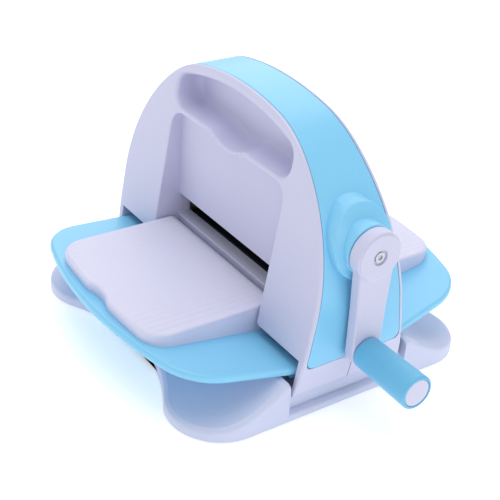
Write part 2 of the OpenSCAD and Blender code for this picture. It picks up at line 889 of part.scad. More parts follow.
base_moulding();
rubber_feet();
base_screws();
front_shell();
rear_shell();
band_cover();
shell_screws();
right_frame();
left_frame();
tie_rods();
tie_nuts();
front_floor();
rear_floor();
roller_bushes();
crank_bushes();
upper_tube();
upper_shaft();
upper_gear();
upper_ring();
lower_tube();
lower_shaft();
lower_gear();
lower_ring();
crank_shaft();
crank_pinion();
crank_ring();
crank_arm();
crank_washer();
crank_screw();
grip_spindle();
grip_sleeve();
grip_cap();
front_wing();
front_pad();
front_pad_screws();
front_hinge_pins();
rear_wing();
rear_pad();
rear_pad_screws();
rear_hinge_pins();
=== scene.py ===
import math

import bmesh
import bpy
from mathutils import Matrix, Vector


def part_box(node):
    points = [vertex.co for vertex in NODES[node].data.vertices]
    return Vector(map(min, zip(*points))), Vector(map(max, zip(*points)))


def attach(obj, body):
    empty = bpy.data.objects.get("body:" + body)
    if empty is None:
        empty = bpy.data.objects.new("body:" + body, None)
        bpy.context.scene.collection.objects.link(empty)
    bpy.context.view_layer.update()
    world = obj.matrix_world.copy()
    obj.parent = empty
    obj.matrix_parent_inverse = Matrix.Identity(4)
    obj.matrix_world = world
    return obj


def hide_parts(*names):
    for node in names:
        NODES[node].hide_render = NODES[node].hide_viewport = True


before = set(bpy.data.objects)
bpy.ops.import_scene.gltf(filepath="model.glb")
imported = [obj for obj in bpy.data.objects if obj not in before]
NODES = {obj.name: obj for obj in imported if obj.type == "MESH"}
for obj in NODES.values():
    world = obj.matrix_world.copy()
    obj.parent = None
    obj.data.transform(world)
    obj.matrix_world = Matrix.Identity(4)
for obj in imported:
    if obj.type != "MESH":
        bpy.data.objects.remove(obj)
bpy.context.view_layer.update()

# ---- Arch shells: two injection moulded ABS halves, pale lavender, with the pad pocket, the notch
# for the wing and the carrying recess moulded in; they meet on the centre plane and are screwed
# together from the rear. All lengths below are millimetres, turned to metres when a mesh is made.
shell_low, shell_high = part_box("front_shell")
crown_radius = (shell_high[0] - shell_low[0]) * 500
crown_drop, top_radius, shoulder_radius = 8.5, 259.0, 90.0
crown_z = shell_high[2] * 1000 + crown_drop - crown_radius
top_z = shell_high[2] * 1000 - top_radius
top_gap = crown_z - top_z
spread = (top_radius - shoulder_radius) ** 2 - (crown_radius - shoulder_radius) ** 2
shoulder_z = top_z + (spread + top_gap**2) / (2 * top_gap)
shoulder_x = math.sqrt((crown_radius - shoulder_radius) ** 2 - (shoulder_z - crown_z) ** 2)
shoulder_low = math.degrees(math.atan2(shoulder_z - crown_z, shoulder_x))
shoulder_high = math.degrees(math.atan2(shoulder_z - top_z, shoulder_x))
foot_z = shell_low[2] * 1000
foot_half = -shell_low[1] * 1000
lean = 0.152
# below side_top the sides curve in towards the base
side_curve, side_top = 160.0, 60.0
# face rim beside the channel of the band, depth of the channel and clearance of the band in it
rim, channel, fit_gap = 3.2, 2.9, 0.3
band_corner = 6.0
band_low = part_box("band_cover")[0][2] * 1000 - fit_gap
slot_half, slot_top = 80.5, 86.0
slot_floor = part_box("front_floor")[1][2] * 1000
recess_back = 4.0
thumb_radius = 47.05


def arc(x, z, radius, start, end, steps, skip=0):
    """points of an arc in a plane, from one angle to another in degrees"""
    turns = [math.radians(start + (end - start) * k / steps) for k in range(skip, steps + 1)]
    return [(x + radius * math.cos(t), z + radius * math.sin(t)) for t in turns]


def crown_arcs(inset):
    """upper outline of the arch from right to left: side, shoulder, flatter top, shoulder, side"""
    points = arc(0, crown_z, crown_radius - inset, 0, shoulder_low, 30)
    points += arc(shoulder_x, shoulder_z, shoulder_radius - inset, shoulder_low, shoulder_high, 16, 1)
    points += arc(0, top_z, top_radius - inset, shoulder_high, 90, 10, 1)
    return points + [(-x, z) for x, z in reversed(points[:-1])]


def face_y(z):
    """front face of the arch, which leans back as it rises"""
    return -(foot_half - lean * (z - foot_z))


def loop_edges(bm, loop):
    """edges between the neighbours of a closed loop of vertices"""
    return [bm.edges.get(pair) for pair in zip(loop, loop[1:] + loop[:1])]


def close_loop(bm, loop):
    """fills a closed loop of vertices with one face"""
    return bmesh.ops.contextual_create(bm, geom=loop_edges(bm, loop))["faces"]


def draw_out(bm, loop, points):
    """extrudes a closed loop of vertices and moves the new loop onto the given points"""
    made = set(bmesh.ops.extrude_edge_only(bm, edges=loop_edges(bm, loop))["geom"])
    new = [next(e.other_vert(v) for e in v.link_edges if e.other_vert(v) in made) for v in loop]
    for vert, point in zip(new, points):
        vert.co = Vector(point) * 0.001
    return new


def first_loop(bm, points):
    """a closed loop of vertices and edges to draw a skin out from"""
    verts = [bm.verts.new(Vector(p) * 0.001) for p in points]
    for a, b in zip(verts, verts[1:] + verts[:1]):
        bm.edges.new((a, b))
    return verts


sharp = math.radians(38)


def make_piece(name, bm, material, body, node):
    """turns a mesh into a smooth-shaded piece that rides on its body and takes a CAD part's place"""
    bmesh.ops.remove_doubles(bm, verts=bm.verts, dist=1e-7)
    bmesh.ops.recalc_face_normals(bm, faces=bm.faces)
    for face in bm.faces:
        face.smooth = True
    for edge in bm.edges:
        if len(edge.link_faces) == 2 and edge.calc_face_angle(0) > sharp:
            edge.smooth = False
    mesh = bpy.data.meshes.new(name)
    bm.to_mesh(mesh)
    bm.free()
    piece = bpy.data.objects.new(name, mesh)
    bpy.context.collection.objects.link(piece)
    mesh.materials.append(material)
    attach(piece, body)
    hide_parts(node)
    return piece


def even_shading(piece):
    """lets the large faces set the shading of the small rounds beside them"""
    weigh = piece.modifiers.new("even_shading", "WEIGHTED_NORMAL")
    weigh.keep_sharp = True
    weigh.weight = 80


def linear(hex_colour):
    """sRGB hex value as a linear colour"""
    parts = [int(hex_colour[i : i + 2], 16) / 255 for i in (0, 2, 4)]
    return [c / 12.92 if c <= 0.04045 else ((c + 0.055) / 1.055) ** 2.4 for c in parts] + [1.0]


def add_node(tree, kind, settings=None, links=None):
    """one shader node with its settings and its incoming links"""
    made = tree.nodes.new(kind)
    for key, value in (settings or {}).items():
        if isinstance(key, int) or key in made.inputs:
            made.inputs[key].default_value = value
        else:
            setattr(made, key, value)
    for key, source in (links or {}).items():
        tree.links.new(source, made.inputs[key])
    return made


def new_finish(name):
    """a new material with its node tree, shader and object coordinates"""
    material = bpy.data.materials.new(name)
    material.use_nodes = True
    tree = material.node_tree
    spot = add_node(tree, "ShaderNodeTexCoord").outputs["Object"]
    return material, tree, tree.nodes["Principled BSDF"], spot


def moulded_plastic(name, base, shade, roughness, grain_mm, coat):
    """moulded ABS: nearly even colour with faint flow clouds and the fine spark texture of the mould"""
    material, tree, shader, spot = new_finish(name)
    # flow clouds about 40 mm across, left by the plastic as it fills the mould
    cloud = add_node(tree, "ShaderNodeTexNoise",
        {"Scale": 1000.0 / 40.0, "Detail": 4.0, "Roughness": 0.55}, {"Vector": spot})
    mix = add_node(tree, "ShaderNodeMix", {"data_type": "RGBA", "A": linear(base), "B": linear(shade)},
        {"Factor": cloud.outputs["Fac"]})
    tree.links.new(mix.outputs["Result"], shader.inputs["Base Color"])
    # the real spark texture is finer than 0.1 mm, so it is drawn coarser to show; a slow wave runs under it
    grain = add_node(tree, "ShaderNodeTexNoise", {"Scale": 1000.0 / grain_mm, "Detail": 2.0}, {"Vector": spot})
    wave = add_node(tree, "ShaderNodeTexNoise", {"Scale": 60.0, "Detail": 1.0}, {"Vector": spot})
    relief = add_node(tree, "ShaderNodeMath", {"operation": "MULTIPLY_ADD", 1: 0.25},
        {0: wave.outputs["Fac"], 2: grain.outputs["Fac"]})
    bump = add_node(tree, "ShaderNodeBump", {"Strength": 0.10, "Distance": 0.0003}, {"Height": relief.outputs[0]})
    tree.links.new(bump.outputs["Normal"], shader.inputs["Normal"])
    gloss = add_node(tree, "ShaderNodeMapRange", {"To Min": roughness - 0.04, "To Max": roughness + 0.05},
        {"Value": cloud.outputs["Fac"]})
    tree.links.new(gloss.outputs["Result"], shader.inputs["Roughness"])
    shader.inputs["IOR"].default_value = 1.53
    shader.inputs["Coat Weight"].default_value = coat
    shader.inputs["Coat Roughness"].default_value = 0.25
    shader.inputs["Subsurface Weight"].default_value = 0.06
    shader.inputs["Subsurface Radius"].default_value = (0.004, 0.004, 0.005)
    return material


# ABS, moulded satin lavender: a clean, faintly violet white with soft wide highlights
shell_abs = moulded_plastic("moulded_lavender_abs", "d3d2ea", "cfcfe7", 0.42, 0.9, 0.05)


def channel_foot(back):
    """lower end of the band's channel at a distance behind the rim, round the corner"""
    return band_low + band_corner - math.sqrt(band_corner**2 - max(band_corner - back, 0.0) ** 2)


def arch_side(inset, step_z):
    """outer edge of the arch from the foot on the right over the crown to the foot on the left"""
    low = side_curve - inset
    heights = [foot_z, 28.0, 34.0, 40.0, step_z - 0.15, step_z + 0.15, 54.0, 57.0, side_top]
    right = [(crown_radius - side_curve + math.sqrt(low**2 - (side_top - z) ** 2), z) for z in heights]
    right += [(crown_radius - inset, z) for z in (66.0, 72.0, 78.0)]
    left = [(-x, z) for x, z in reversed(right)]
    return right + crown_arcs(inset) + left


def pocket_side(inset):
    """edge of the notch and the pad pocket, from the left strip up and over to the right strip"""
    notch_half, notch_top, notch_round = 137.5, 51.5, 4.0
    pocket_half, pocket_top, pocket_corner, dip = slot_half + 0.8, 167.7, 14.0, 5.2
    side, top = pocket_half + inset, pocket_top + inset
    corner_x, corner_z = pocket_half - pocket_corner, pocket_top - pocket_corner
    dip_radius = thumb_radius - inset
    turn = math.degrees(math.acos((dip_radius - dip) / dip_radius))
    left = [(-notch_half - inset, z) for z in (foot_z, 36.0, notch_top + inset)]
    left += [(x, notch_top + inset) for x in (-125.0, -110.0, -97.0)]
    left += arc(-pocket_half - notch_round, notch_top + notch_round, notch_round - inset, 270, 360, 5)
    levels = (60.0, 67.0, 76.0, slot_top - 0.15, slot_top + 0.15, 98.0, 112.0, 126.0, 140.0)
    left += [(-side, z) for z in levels]
    left += arc(-corner_x, corner_z, pocket_corner + inset, 180, 90, 10)
    left += [(x, top) for x in (-56.0, -44.0, -33.0)]
    dip_arc = arc(0, pocket_top - dip + thumb_radius, dip_radius, 270 - turn, 270 + turn, 14)
    right = [(-x, z) for x, z in reversed(left)]
    return left + dip_arc + right


def recess_edge(grow):
    """outline of the carrying recess: bowed above, with a thumb dip below"""
    recess_low, recess_top, bow, corner_round, dip = 171.6, 211.5, 250.0, 12.0, 6.1
    corner_x, corner = 69.0, corner_round + grow
    low_z, arc_z = recess_low + corner_round, recess_top - bow
    high_z = arc_z + math.sqrt((bow - corner_round) ** 2 - corner_x**2)
    join = math.degrees(math.atan2(high_z - arc_z, corner_x))
    dip_radius = thumb_radius + grow
    turn = math.degrees(math.acos((dip_radius - dip) / dip_radius))
    points = arc(0, recess_low - dip + thumb_radius, dip_radius, 270 - turn, 270 + turn, 18)
    points += [(x, recess_low - grow) for x in (30.0, 42.0, 56.0)]
    points += arc(corner_x, low_z, corner, 270, 360, 10)
    points += arc(corner_x, high_z, corner, 0, join, 8)
    points += arc(0, arc_z, bow + grow, join, 180 - join, 34, 1)
    points += arc(-corner_x, high_z, corner, 180 - join, 180, 8, 1)
    points += arc(-corner_x, low_z, corner, 180, 270, 10)
    return points + [(x, recess_low - grow) for x in (-56.0, -42.0, -30.0)]


def recess_lip(part):
    """rolled lip of the recess at a part of its quarter turn: narrow over the ridge, wide above"""
    narrow, wide = 1.7, 3.4
    points = []
    reach = 1 - math.sin(part)
    for (x, z), (wide_x, wide_z) in zip(recess_edge(narrow * reach), recess_edge(wide * reach)):
        # the lip widens over the 9 mm above the ridge
        share = min(1.0, max(0.0, (z - 170.0) / 9.0))
        lip = narrow + (wide - narrow) * share
        x, z = x + (wide_x - x) * share, z + (wide_z - z) * share
        points.append((x, face_y(z) + lip * (1 - math.cos(part)), z))
    return points


quarter = (18, 36, 54, 72, 90)


def shell_skin(flip):
    """one half of the arch; the rear half is the front half mirrored"""
    bm = bmesh.new()
    edge_round, pocket_round = 2.4, 1.1
    outer_count = len(arch_side(0, 45))

    def ring(outer_inset, pocket_inset, step_z, depth):
        outline = arch_side(outer_inset, step_z) + pocket_side(pocket_inset)
        return [(x, depth(i, x, z), z) for i, (x, z) in enumerate(outline)]

    face = first_loop(bm, ring(edge_round, pocket_round, channel_foot(0), lambda i, x, z: face_y(z)))
    hole = first_loop(bm, recess_lip(0))
    bmesh.ops.triangle_fill(bm, use_beauty=True, edges=loop_edges(bm, face) + loop_edges(bm, hole))
    loop = face
    for turn in quarter:
        s, c = math.sin(math.radians(turn)), math.cos(math.radians(turn))
        loop = draw_out(bm, loop, ring(edge_round * (1 - s), pocket_round * (1 - s), channel_foot(0),
            lambda i, x, z: face_y(z) + (1 - c) * (edge_round if i < outer_count else pocket_round)))

    def wall_target(x, z):
        """depth of the wall behind the notch, the pocket and the slot"""
        if abs(x) > slot_half + 2.5:
            return -33.0
        return -23.0 if z > slot_top else -12.0

    def pocket_ring(share):
        """the notch and pocket edge at a share of the way back to their walls, drawn in beside the pad"""
        points = []
        for x, z in pocket_side(0):
            start = face_y(z) + pocket_round
            draft = 1.5 * share if 60 < abs(x) < 82 else 0.0
            points.append((x - math.copysign(draft, x), start + (wall_target(x, z) - start) * share, z))
        return points

    # behind the rim the side drops into the channel that holds the blue band; each station is a
    # distance behind the rim and the depth reached there
    stations = [(-0.4, 0.0), (-0.08, 0.3), (0.0, channel)]
    stations += [(back, channel) for back in (0.3, 1.0, 2.2, 3.9, 6.0)]
    for k, (back, drop) in enumerate(stations):
        step_z = channel_foot(max(back, 0.0))
        points = []
        for (x, z), inner in zip(arch_side(0, step_z), arch_side(drop, step_z)):
            x, z = inner if z > step_z else (x, z)
            points.append((x, face_y(z) + rim + back, z))
        loop = draw_out(bm, loop, points + pocket_ring((k + 1) / (len(stations) + 2)))
    # the two last rings run beside the seam, where the foot steps in to leave a fine joint line
    for y, tuck, share in ((-0.6, 0.0, 0.9), (-0.12, 0.35, 1.0)):
        points = []
        for (x, z), inner in zip(arch_side(0, band_low), arch_side(channel, band_low)):
            x, z = inner if z > band_low else (x - math.copysign(tuck, x), z)
            points.append((x, y, z))
        loop = draw_out(bm, loop, points + pocket_ring(share))
    # back wall of the pocket, its lower edge is the top of the die slot
    back = [v for v in loop[outer_count:] if v.co.z > (slot_top + 0.05) / 1000 and abs(v.co.x) < 0.0825]
    bottom = [bm.edges.new((back[-1], back[0]))]
    wall_edges = [bm.edges.get((a, b)) for a, b in zip(back, back[1:])]
    bmesh.ops.triangle_fill(bm, use_beauty=True, edges=wall_edges + bottom)
    for made in bmesh.ops.extrude_edge_only(bm, edges=bottom)["geom"]:
        if isinstance(made, bmesh.types.BMVert):
            made.co.y += 0.003
    # carrying recess: rolled lip, straight floor, wide round into its back
    loop = hole
    for turn in quarter:
        loop = draw_out(bm, loop, recess_lip(math.radians(turn)))
    deep, round_in = 8.0, 6.0
    for share in (0.35, 0.7):
        loop = draw_out(bm, loop,
            [(x, y + (-recess_back - deep - y) * share, z) for x, y, z in recess_lip(math.pi / 2)])
    for turn in range(0, 91, 10):
        t = math.radians(turn)
        loop = draw_out(bm, loop, [(x, -recess_back - deep * (1 - math.sin(t)), z)
            for x, z in recess_edge(-round_in * (1 - math.cos(t)))])
    bmesh.ops.triangle_fill(bm, use_beauty=True, edges=loop_edges(bm, loop))
    if flip:
        bmesh.ops.scale(bm, vec=(1, -1, 1), verts=bm.verts)
    return bm


for name, flip in (("front_shell", False), ("rear_shell", True)):
    skin = make_piece(name + "_skin", shell_skin(flip), shell_abs, "machine", name)
    walls = skin.modifiers.new("wall", "SOLIDIFY")
    walls.thickness = 0.0022
    walls.offset = -1.0
    walls.use_even_offset = False
    even_shading(skin)

# ---- Blue band: a separate ABS moulding that snaps into the channel over the crown, with a boss that
# flares out of its right side round the crank shaft. Glossier than the lavender parts.
blue_abs = moulded_plastic("moulded_sky_blue_abs", "8ad4f7", "84cff4", 0.34, 0.9, 0.12)


def middle_z(name):
    """height of the middle of a CAD part in millimetres"""
    return (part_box(name)[0][2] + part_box(name)[1][2]) * 500


crank_z = middle_z("crank_shaft")
boss_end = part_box("band_cover")[1][0] * 1000
bm = bmesh.new()
low, band_wall = band_low + fit_gap, 2.6
heights = [low + rise for rise in (0, 0.25, 1.0, 2.3, 4.0, 5.7)] + [54.5, 57.0, side_top, 66.0, 72.0, 78.0]


def band_section(x, z, out_x, out_z):
    """closed section across the band at a point of the arch, given the direction square to the arch"""
    half = -face_y(z) - rim - fit_gap
    down = low + band_corner - z
    if down > 0:
        half = -face_y(low + band_corner) - rim - fit_gap
        half -= band_corner - math.sqrt(max(band_corner**2 - down**2, 0))
    points = [(0, 0), (half * 0.5, 0), (half - 1.4, 0), (half - 0.9, 0), (half - 0.35, 0.12)]
    points += [(half - 0.1, 0.38), (half, 0.9), (half, band_wall)]
    ring = [(-y, s) for y, s in reversed(points)] + points[1:]
    ring += [(half * 0.5, band_wall), (-half * 0.5, band_wall)]
    return [(x - out_x * s, y, z - out_z * s) for y, s in ring]


path = []
for z in heights:
    if z <= side_top:
        x = crown_radius - side_curve + math.sqrt(side_curve**2 - (side_top - z) ** 2)
        path.append((x, z, (x - crown_radius + side_curve) / side_curve, (z - side_top) / side_curve))
    else:
        path.append((crown_radius, z, 1.0, 0.0))
path += [(x, z, x - in_x, z - in_z) for (x, z), (in_x, in_z) in zip(crown_arcs(0), crown_arcs(1))]
path += [(-x, z, -ox, oz) for x, z, ox, oz in reversed(path[: len(heights)])]
loop = first_loop(bm, band_section(*path[0]))
close_loop(bm, loop)
for step in path[1:]:
    loop = draw_out(bm, loop, band_section(*step))
close_loop(bm, loop)
# the boss: rings from a hidden skirt in the band, up the round, along the barrel, over the end; the
# round is widest above the barrel and tightest below it
boss, bore = 20.5, 7.5
turns = [2 * math.pi * k / 96 for k in range(96)]
rounds = [6.5 + 4.5 * max(0.0, math.sin(t)) ** 1.2 - 1.6 * max(0.0, -math.sin(t)) for t in turns]


def boss_ring(share):
    """one ring of the boss's round: share 0 lies on the band, share 1 on the barrel"""
    points = []
    for t, radius in zip(turns, rounds):
        span = boss + radius
        y, z = span * math.cos(t), crank_z + span * math.sin(t)
        x = math.sqrt((crown_radius + radius) ** 2 - (z - crown_z) ** 2)
        foot = Vector((x, 0, z - crown_z)).normalized() * -radius
        wall = Vector((0, -math.cos(t), -math.sin(t))) * radius
        points.append(Vector((x, y, z)) + foot.slerp(wall, share))
    return points


def skirt_ring(lift):
    """ring just outside the round, lifted off the band's surface or sunk in it"""
    points = []
    for t, radius in zip(turns, rounds):
        span = boss + radius + 0.8
        y, z = span * math.cos(t), crank_z + span * math.sin(t)
        on_band = Vector((math.sqrt(crown_radius**2 - (z - crown_z) ** 2), y, z))
        points.append(on_band + Vector((on_band.x, 0, z - crown_z)).normalized() * lift)
    return points


def barrel_ring(x, radius):
    """one ring of the boss's barrel or bore"""
    return [(x, radius * math.cos(t), crank_z + radius * math.sin(t)) for t in turns]


loop = first_loop(bm, skirt_ring(-1.5))
close_loop(bm, loop)
loop = draw_out(bm, loop, skirt_ring(-0.06))
for k in range(11):
    loop = draw_out(bm, loop, boss_ring(k / 10))
end, end_round = boss_end - 0.2, 1.2
for k in (1, 2, 3):
    places = [v.co.x * 1000 for v in loop]
    loop = draw_out(bm, loop, [(x + (end - end_round - x) * k / 3, y, z)
        for x, (_, y, z) in zip(places, barrel_ring(0, boss))])
over_end = ((0.75, 0.12), (0.35, 0.35), (0.12, 0.75), (0.0, end_round), (0.0, 12.9), (3.0, boss - bore))
for back, tuck in over_end:
    loop = draw_out(bm, loop, barrel_ring(end - back, boss - tuck))
close_loop(bm, loop)
make_piece("band_skin", bm, blue_abs, "machine", "band_cover")

# ---- Base: one ABS moulding with four round lobes; the saddle in the middle carries the arch, each
# lobe falls away from a low wall in a hollow sweep, and a ledge shows under each end of the arch.
base_abs = moulded_plastic("moulded_pale_abs", "d0d5ec", "cbd1ea", 0.42, 0.9, 0.05)
base_low, base_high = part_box("base_moulding")
lobe = 43.0
lobe_x, lobe_y = base_high[0] * 1000 - lobe, base_high[1] * 1000 - lobe
waist_y = 108.4
waist_radius = (lobe_x**2 + (waist_y - lobe_y) ** 2 - lobe**2) / (2 * (lobe - waist_y + lobe_y))
base_foot = base_low[2] * 1000


def base_edge(inset):
    """plan of the base: four lobes joined by hollow front and rear edges"""
    turn = math.degrees(math.atan2(waist_y + waist_radius - lobe_y, lobe_x))
    corner = arc(lobe_x, -lobe_y, lobe - inset, 0, -180 + turn, 30)
    corner.reverse()
    hollow = arc(0, -waist_y - waist_radius, waist_radius + inset, 180 - turn, turn, 30)[1:-1]
    levels = (-75.0, -61.5, -57.0, -40.0, -20.0, 0.0, 20.0, 40.0, 57.0, 61.5, 75.0)
    side = [(lobe_x + lobe - inset, y) for y in levels]
    right = hollow + corner + side + [(x, -y) for x, y in reversed(corner)]
    back = [(-x, -y) for x, y in right]
    return right + back


# the saddle ends at saddle_y and saddle_x; from sweep_y each lobe sinks from its wall to its edge
saddle_y, saddle_x, saddle_z, ledge_z = 57.05, 137.05, 22.0, 8.0
sweep_y, sweep_end, wall_z, lobe_z = 62.0, 136.0, 36.5, 10.0


def base_top(x, y):
    """height of the base's upper surface"""
    y = abs(y)
    if y < saddle_y:
        return ledge_z if abs(x) > saddle_x else saddle_z
    if y < sweep_y:
        return wall_z - 1.1 * max(0.0, (58.6 - y) / 1.6) ** 2
    reach, drop = sweep_end - sweep_y, wall_z - lobe_z
    curve = (reach**2 + drop**2) / (2 * drop)
    return lobe_z + curve - math.sqrt(max(curve**2 - (sweep_end - y) ** 2, 0))


bm = bmesh.new()
loop = first_loop(bm, [(x, y, 0) for x, y in base_edge(4.2)])
close_loop(bm, loop)
for inset, sink in ((3.5, -0.35), (2.6, -0.75), (1.7, -1.05), (0.9, -1.6), (0.35, -2.5), (0.0, -3.9)):
    loop = draw_out(bm, loop, [(x, y, sink) for x, y in base_edge(inset)])
loop = draw_out(bm, loop, [(x, y, -500) for x, y in base_edge(0)])
# cut lines across the upper face, close together where it bends
levels = (0, 20, 40, 56.9, 57.1, 57.6, 58.2, 59.2, 61.5, 62.6, 66, 70, 75, 80)
levels += (86, 92, 98, 104, 110, 116, 122, 128, 132)
cuts = [((0, level / 1000, 0), (0, 1, 0)) for level in sorted({s * y for y in levels for s in (-1, 1)})]
cuts += [((level / 1000, 0, 0), (1, 0, 0)) for level in (-137.2, -136.9, 136.9, 137.2)]
for place, across in cuts:
    geom = bm.verts[:] + bm.edges[:] + bm.faces[:]
    bmesh.ops.bisect_plane(bm, geom=geom, plane_co=place, plane_no=across)
for vert in bm.verts:
    x, y, z = vert.co * 1000
    vert.co.z = (base_foot if z < -100 else base_top(x, y) + z) / 1000
bmesh.ops.remove_doubles(bm, verts=bm.verts, dist=1e-7)
open_edges = [e for e in bm.edges if e.is_boundary]
floor_face = bmesh.ops.contextual_create(bm, geom=open_edges)["faces"]
bmesh.ops.inset_region(bm, faces=floor_face, thickness=0.003, use_even_offset=True)
for vert in floor_face[0].verts:
    vert.co.z += 0.003
base = make_piece("base_skin", bm, base_abs, "machine", "base_moulding")
even_shading(base)

# ---- Wings: flat blue ABS leaves that carry the pads and fold up against the arch; every edge is
# rounded and a lip turns down under the hinge side.
hinge_z, hinge_y, slope_degrees = 55.0, 36.0, 8.4
slope = math.radians(slope_degrees)
wing_drop, wing_thick = 13.45, 7.0
leaf_half, leaf_start = 136.5, 0.3


def on_wing(bm, rear):
    """moves a mesh from the wing's own plane to its open place"""
    turn = Matrix.Rotation(math.pi, 4, "Z") @ Matrix.Rotation(slope, 4, "X")
    move = Matrix.Translation((0, -hinge_y / 1000, hinge_z / 1000)) @ turn
    bmesh.ops.transform(bm, matrix=move, verts=bm.verts)
    if rear:
        bmesh.ops.scale(bm, vec=(1, -1, 1), verts=bm.verts)


def thicken(bm, faces, rise):
    """draws a flat face out into a solid slab, along a vector in metres"""
    made = bmesh.ops.extrude_face_region(bm, geom=faces, use_keep_orig=True)["geom"]
    bmesh.ops.translate(bm, vec=rise, verts=[v for v in made if isinstance(v, bmesh.types.BMVert)])


for name, body, rear in (("front_wing", "front_table", False), ("rear_wing", "rear_table", True)):
    bm = bmesh.new()
    corner, corner_x, corner_y, reach = 45.5, 82.0, 60.0, 117.5
    bow_y = (corner_x**2 + corner_y**2 - (reach - corner) ** 2) / (2 * (corner_y - reach + corner))
    tip_x = leaf_half - corner_x
    start = math.acos(corner / math.hypot(tip_x, corner_y)) - math.atan2(corner_y, tip_x)
    start, join = math.degrees(start), math.degrees(math.atan2(corner_y - bow_y, corner_x))
    plan = [(x, leaf_start) for x in (-leaf_half, -68.0, 0.0, 68.0, leaf_half)]
    plan += arc(corner_x, corner_y, corner, start, join, 26)
    plan += arc(0, bow_y, reach - bow_y, join, 180 - join, 44, 1)
    plan += arc(-corner_x, corner_y, corner, 180 - join, 180 - start, 26, 1)
    loop = first_loop(bm, [(x, u, -wing_drop - wing_thick) for x, u in plan])
    thicken(bm, close_loop(bm, loop), (0, 0, wing_thick / 1000))
    rim_edges = [e for e in bm.edges if abs(e.verts[0].co.z - e.verts[1].co.z) < 1e-6
        and max(len(f.verts) for f in e.link_faces) > 8]
    bmesh.ops.bevel(bm, geom=rim_edges, affect="EDGES", offset=0.0027, segments=5, profile=0.5,
        material=-1, clamp_overlap=True)
    # lip under the hinge side
    made = bmesh.ops.create_cube(bm, size=1.0)["verts"]
    bmesh.ops.scale(bm, vec=(0.2596, 0.0058, 0.010), verts=made)
    bmesh.ops.translate(bm, vec=(0, 0.006, -0.0214), verts=made)
    lip_edges = list({e for v in made for e in v.link_edges})
    bmesh.ops.bevel(bm, geom=lip_edges, affect="EDGES", offset=0.001, segments=3, profile=0.5, material=-1)
    on_wing(bm, rear)
    even_shading(make_piece(name + "_skin", bm, blue_abs, body, name))

# ---- Pads: hollow lavender ABS platforms screwed to the wings, level with the slot floor so that the
# cutting plates slide on them; a finger notch in the outer edge, fine ribs run towards the slot.
pad_abs = moulded_plastic("ribbed_lavender_abs", "dedcf1", "dad9ee", 0.44, 0.9, 0.04)
tree = pad_abs.node_tree
shader = tree.nodes["Principled BSDF"]
# ribs 6.5 mm apart towards the slot, only on the top and fading in the middle
rib_mm, pad_top = 6.5, 0.0662
spot = add_node(tree, "ShaderNodeTexCoord").outputs["Object"]
split = add_node(tree, "ShaderNodeSeparateXYZ", links={"Vector": spot})
phase = add_node(tree, "ShaderNodeMath", {"operation": "MULTIPLY", 1: 1000.0 / rib_mm}, {0: split.outputs["X"]})
saw = add_node(tree, "ShaderNodeMath", {"operation": "PINGPONG", 1: 0.5}, {0: phase.outputs[0]})
line = add_node(tree, "ShaderNodeMapRange",
    {"From Min": 0.0, "From Max": 0.06, "To Min": 1.0, "To Max": 0.0}, {"Value": saw.outputs[0]})
wide = add_node(tree, "ShaderNodeMath", {"operation": "ABSOLUTE"}, {0: split.outputs["X"]})
fade = add_node(tree, "ShaderNodeMapRange",
    {"From Min": 0.012, "From Max": 0.06, "To Min": 0.12, "To Max": 1.0}, {"Value": wide.outputs[0]})
high = add_node(tree, "ShaderNodeMath", {"operation": "GREATER_THAN", 1: pad_top}, {0: split.outputs["Z"]})
rib = add_node(tree, "ShaderNodeMath", {"operation": "MULTIPLY"},
    {0: line.outputs["Result"], 1: fade.outputs["Result"]})
rib = add_node(tree, "ShaderNodeMath", {"operation": "MULTIPLY"}, {0: rib.outputs[0], 1: high.outputs[0]})
groove = add_node(tree, "ShaderNodeBump", {"Strength": 0.45, "Distance": 0.0003, "invert": True},
    {"Height": rib.outputs[0], "Normal": shader.inputs["Normal"].links[0].from_socket})
tree.links.new(groove.outputs["Normal"], shader.inputs["Normal"])
# painted shade: the grooves between the ribs are also painted a little darker, standing in for the shade that falls
# in them
depth = add_node(tree, "ShaderNodeMath", {"operation": "MULTIPLY", 1: 0.35}, {0: rib.outputs[0]})
# the pad's colour with the painted groove shade mixed in, 0.35 of the rib mask deep
painted_groove_shade = add_node(tree, "ShaderNodeMix", {"data_type": "RGBA", "B": linear("bdbcd6")},
    {"A": shader.inputs["Base Color"].links[0].from_socket, "Factor": depth.outputs[0]})
tree.links.new(painted_groove_shade.outputs["Result"], shader.inputs["Base Color"])
pad_low, pad_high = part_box("front_pad")
pad_half, pad_out = pad_high[0] * 1000, -pad_low[1] * 1000
knuckle = slot_floor - hinge_z


def pad_edge(inset, inner):
    """plan of the pad: bowed outer edge with a notch, inner edge at the given place"""
    corner_radius, bow_radius, notch_radius, notch_depth = 21.0, 561.0, 38.0, 4.0
    corner, bow, notch = corner_radius - inset, bow_radius - inset, notch_radius + inset
    corner_x = pad_half - corner_radius
    bow_y = bow_radius - pad_out
    join = math.asin(corner_x / (bow_radius - corner_radius))
    corner_y = bow_y - (bow_radius - corner_radius) * math.cos(join)
    notch_y = notch_depth - pad_out - notch_radius
    span = bow_y - notch_y
    turn = math.acos((bow**2 + span**2 - notch**2) / (2 * bow * span))
    notch_turn = math.degrees(math.asin(bow * math.sin(turn) / notch))
    join, turn = math.degrees(join), math.degrees(turn)
    side = pad_half - inset
    points = [(x, inner) for x in (side, side * 0.6, side * 0.2, -side * 0.2, -side * 0.6, -side)]
    points += [(-side, y) for y in (-49.0, -62.0, -80.0, -100.0)]
    points += arc(-corner_x, corner_y, corner, 180, 270 - join, 14)
    points += arc(0, bow_y, bow, 270 - join, 270 - turn - 0.4, 12, 1)
    points += arc(0, notch_y, notch, 90 + notch_turn - 2, 90 - notch_turn + 2, 14)
    points += arc(0, bow_y, bow, 270 + turn + 0.4, 270 + join, 12)
    points += arc(corner_x, corner_y, corner, 270 + join, 360, 14, 1)
    return points + [(side, y) for y in (-100.0, -80.0, -62.0, -49.0)]


